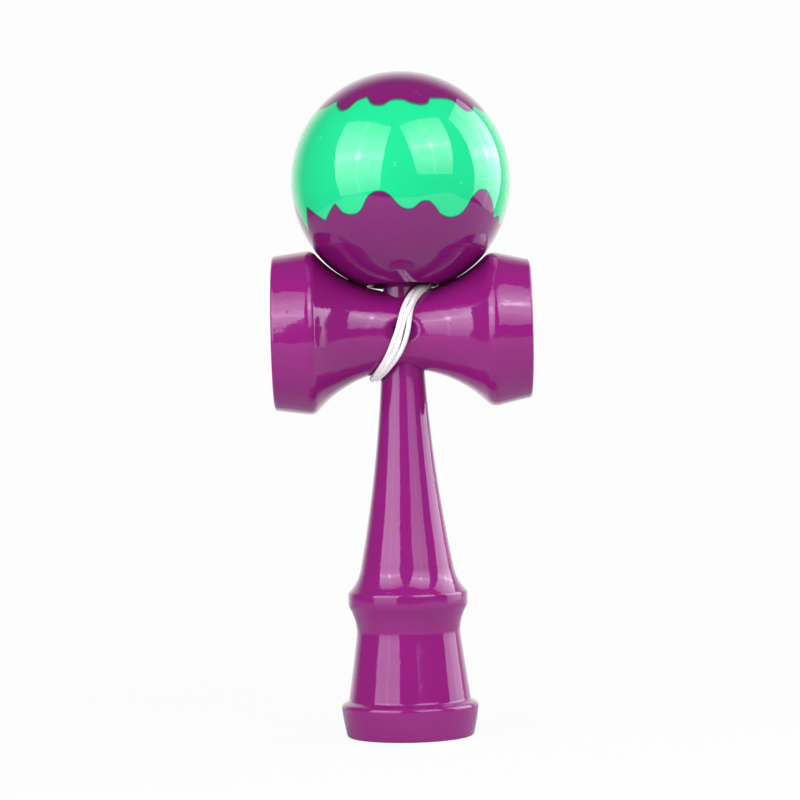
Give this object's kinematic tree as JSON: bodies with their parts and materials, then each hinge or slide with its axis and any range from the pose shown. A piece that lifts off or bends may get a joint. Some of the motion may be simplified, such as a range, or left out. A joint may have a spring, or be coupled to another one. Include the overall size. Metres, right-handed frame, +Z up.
{
  "type": "kendama",
  "caption": "Wooden cup-and-ball toy: a turned handle with a spike and base cup, a cross piece with a cup at each end, and a holed ball tied on by a string.",
  "frame": {"origin": "centre of the flat rim of the base cup, on the handle's axis", "axes": "+Z up the handle to the ball, +X along the cross piece to the small cup, -Y the side with the string hole"},
  "size_m": [0.0702, 0.0616, 0.1825],
  "materials": {
    "handle_lacquer": "thick gloss lacquer over turned wood",
    "cross_lacquer": "thick gloss lacquer over turned wood",
    "ball_paint": "gloss paint, green with a purple cap and bottom",
    "bare_wood": "bare turned wood",
    "string": "smooth woven cord"
  },
  "bodies": {
    "handle": {"handle": "handle_lacquer", "string_anchor": "string"},
    "cross_piece": {"cross_piece": "cross_lacquer", "string_winding": "string"},
    "string_end": {"bead": "bare_wood", "string_ball_end": "string", "string_free": "string"},
    "ball": {"ball": "ball_paint"}
  },
  "joints": [
    {"name": "cross_pull_off", "type": "slide", "parent": "handle", "child": "cross_piece", "axis": [0, 0, 1], "range_m": [0, 0.06]},
    {"name": "ball_lift", "type": "slide", "parent": "cross_piece", "child": "string_end", "axis": [0, 0, 1], "range_m": [0, 0.045], "deforming": ["string_free"]},
    {"name": "ball_spin", "type": "hinge", "parent": "string_end", "child": "ball", "pos_m": [0.0005, 0, 0.15135], "axis": [0, 0.0785, 0.9969], "continuous": true}
  ]
}
